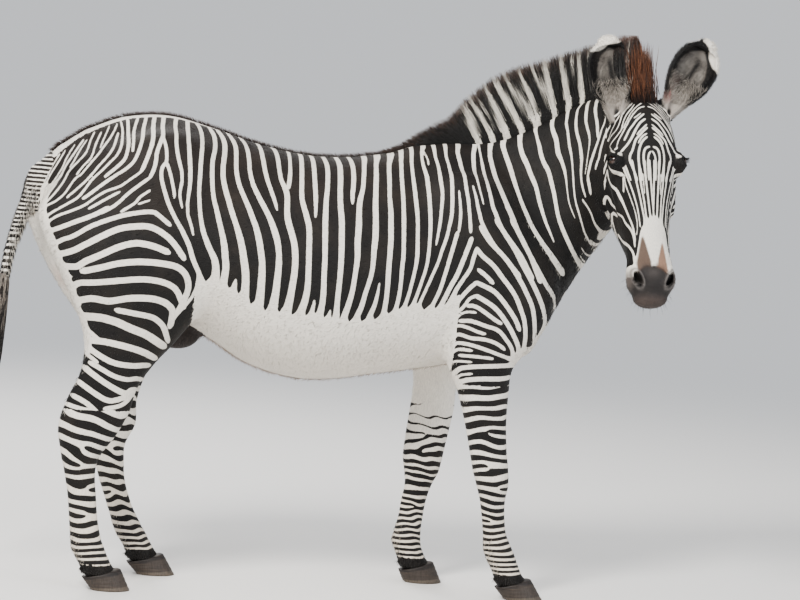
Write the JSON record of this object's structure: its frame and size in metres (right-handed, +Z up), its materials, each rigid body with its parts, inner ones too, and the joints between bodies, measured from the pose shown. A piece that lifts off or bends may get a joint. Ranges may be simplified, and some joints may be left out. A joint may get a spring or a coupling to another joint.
{
  "type": "standing zebra figure",
  "caption": "Life-size still figure of a standing Grevy's zebra stallion with raised neck, head turned to its right, tall mane and large round ears.",
  "frame": {"origin": "on the floor under the middle of the figure's bounding box", "axes": "+X toward the chest and head end, +Y to the animal's left, +Z up; the hooves stand on z = 0"},
  "size_m": [2.2883, 0.7389, 1.8285],
  "materials": {
    "hide": "short striped hair",
    "ear_hide": "short hair",
    "mane_hair": "stiff upright hair",
    "tail_hair": "long coarse hair",
    "eye": "wet gloss",
    "hoof": "dull horn"
  },
  "bodies": {
    "root": {"head": "hide", "neck": "hide", "trunk": "hide", "fore_leg_right_upper": "hide", "fore_leg_right_lower": "hide", "fore_leg_left_upper": "hide", "fore_leg_left_lower": "hide", "hind_leg_right_upper": "hide", "hind_leg_right_lower": "hide", "hind_leg_left_upper": "hide", "hind_leg_left_lower": "hide", "ear_right": "ear_hide", "ear_left": "ear_hide", "tail": "hide", "mane": "mane_hair", "tail_tassel": "tail_hair", "eye_right": "eye", "eye_left": "eye", "hoof_fore_right": "hoof", "hoof_fore_left": "hoof", "hoof_hind_right": "hoof", "hoof_hind_left": "hoof"}
  },
  "joints": []
}
